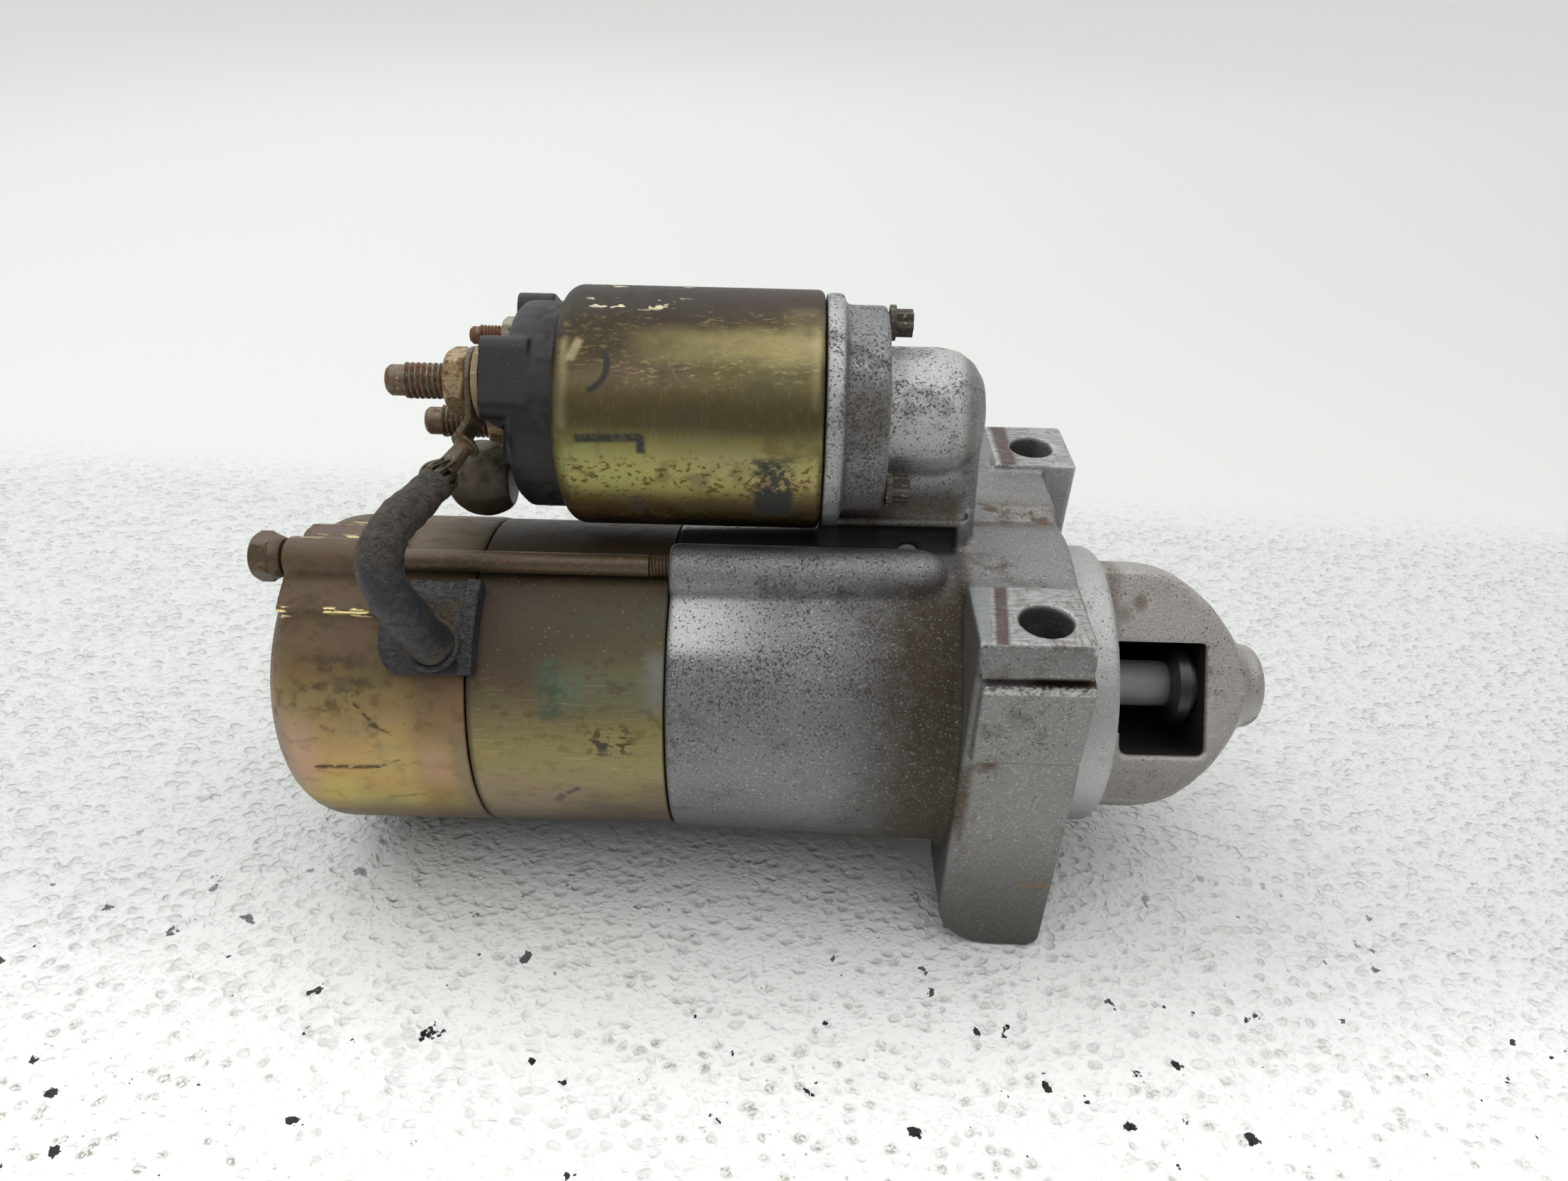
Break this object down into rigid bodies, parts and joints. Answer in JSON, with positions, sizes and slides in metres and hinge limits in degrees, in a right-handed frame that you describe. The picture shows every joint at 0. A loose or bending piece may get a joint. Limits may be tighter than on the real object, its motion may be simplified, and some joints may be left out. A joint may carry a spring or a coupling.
{
  "type": "starter motor",
  "caption": "Gear-reduction engine starter motor: cast nose housing with lugs, plated field frame, drawn rear cover, side solenoid, insulated lead and an exposed pinion shaft.",
  "frame": {"origin": "centre of the rear cover's flat end, on the shaft axis", "axes": "+X along the shaft from the rear cover to the nose; +Z is the outward normal of the two machined mounting lugs; +Y completes the frame and points from the near lug to the far lug"},
  "size_m": [0.2379, 0.1016, 0.143],
  "materials": {
    "aluminium": "die-cast, grey and grainy, with brown grime and bright machined faces",
    "plated_steel": "yellow zinc plate with gold, green and pink tints under brown grime",
    "steel": "plain machined steel, lightly oiled",
    "rusty_steel": "plated steel with speckled brown rust",
    "black_plastic": "black moulded thermoset, dusty and satin",
    "rubber": "black moulded rubber, dull, with brown dust",
    "brown_rubber": "soft rubber boot under brown dust",
    "copper": "bare copper, tarnished brown",
    "carbon": "copper-filled carbon, dull dark grey",
    "magnet": "pressed ferrite, dull charcoal",
    "bronze": "oil-filled sintered bronze",
    "polymer": "moulded engineering plastic"
  },
  "bodies": {
    "starter": {"drive_end_housing": "aluminium", "rear_cover": "plated_steel", "field_frame": "plated_steel", "through_bolt_near": "plated_steel", "through_bolt_far": "plated_steel", "lead_grommet": "rubber", "lead_sleeve": "rubber", "lead_braid": "copper", "lead_terminal": "steel", "terminal_boot": "brown_rubber", "solenoid_can": "plated_steel", "solenoid_cap": "black_plastic", "motor_stud": "rusty_steel", "battery_stud": "rusty_steel", "signal_stud": "rusty_steel", "motor_nut": "rusty_steel", "battery_nut": "rusty_steel", "signal_nut": "rusty_steel", "motor_washer": "rusty_steel", "battery_washer": "rusty_steel", "solenoid_screw_1": "steel", "solenoid_screw_2": "steel", "solenoid_screw_3": "steel", "solenoid_core": "steel", "solenoid_coil": "copper", "plunger_spring": "steel", "lever_pin": "steel", "nose_bushing": "bronze", "rear_bushing": "bronze", "ring_gear": "polymer", "centre_plate": "steel", "magnet_1": "magnet", "magnet_2": "magnet", "magnet_3": "magnet", "magnet_4": "magnet", "brush_plate": "polymer", "brush_1": "carbon", "brush_2": "carbon", "brush_3": "carbon", "brush_4": "carbon"},
    "armature": {"armature_shaft": "steel", "armature_core": "steel", "armature_windings": "copper", "commutator": "copper"},
    "output": {"output_shaft": "steel", "stop_collar": "steel"},
    "planet_1": {"planet_gear_1": "steel"},
    "planet_2": {"planet_gear_2": "steel"},
    "planet_3": {"planet_gear_3": "steel"},
    "clutch": {"overrunning_clutch": "steel"},
    "pinion": {"pinion": "steel"},
    "lever": {"shift_lever": "polymer"},
    "plunger": {"plunger": "steel"},
    "contact": {"contact_disc": "copper"}
  },
  "joints": [
    {"name": "armature_spin", "type": "hinge", "parent": "starter", "child": "armature", "pos_m": [0, 0, 0], "axis": [1, 0, 0], "continuous": true},
    {"name": "output_spin", "type": "hinge", "parent": "starter", "child": "output", "pos_m": [0, 0, 0], "axis": [1, 0, 0], "continuous": true},
    {"name": "planet_1_spin", "type": "hinge", "parent": "output", "child": "planet_1", "pos_m": [0.1005, 0, 0.01688], "axis": [1, 0, 0], "continuous": true},
    {"name": "planet_2_spin", "type": "hinge", "parent": "output", "child": "planet_2", "pos_m": [0.1005, -0.01461, -0.00844], "axis": [1, 0, 0], "continuous": true},
    {"name": "planet_3_spin", "type": "hinge", "parent": "output", "child": "planet_3", "pos_m": [0.1005, 0.01461, -0.00844], "axis": [1, 0, 0], "continuous": true},
    {"name": "clutch_slide", "type": "slide", "parent": "output", "child": "clutch", "axis": [1, 0, 0], "range_m": [0, 0.01296]},
    {"name": "pinion_overrun", "type": "hinge", "parent": "clutch", "child": "pinion", "pos_m": [0, 0, 0], "axis": [1, 0, 0], "continuous": true},
    {"name": "lever_swing", "type": "hinge", "parent": "starter", "child": "lever", "pos_m": [0.145, 0.00771, 0.03517], "axis": [0, -0.9768, 0.2143], "range_deg": [0, 20.8]},
    {"name": "plunger_slide", "type": "slide", "parent": "starter", "child": "plunger", "axis": [-1, 0, 0], "range_m": [0, 0.01138], "stiffness_N_per_m": 900, "springref_m": -0.012, "deforming": ["plunger_spring"]},
    {"name": "contact_slide", "type": "slide", "parent": "starter", "child": "contact", "axis": [-1, 0, 0], "range_m": [0, 0.0026]}
  ],
  "couplings": [
    {"joint": "output_spin", "follows": "armature_spin", "ratio": 0.22222},
    {"joint": "planet_1_spin", "follows": "armature_spin", "ratio": -0.62222},
    {"joint": "planet_2_spin", "follows": "armature_spin", "ratio": -0.62222},
    {"joint": "planet_3_spin", "follows": "armature_spin", "ratio": -0.62222},
    {"joint": "lever_swing", "follows": "plunger_slide", "rad_per_m": 31.747},
    {"joint": "clutch_slide", "follows": "plunger_slide", "ratio": 1.1371},
    {"joint": "contact_slide", "follows": "plunger_slide", "ratio": 0.228}
  ]
}
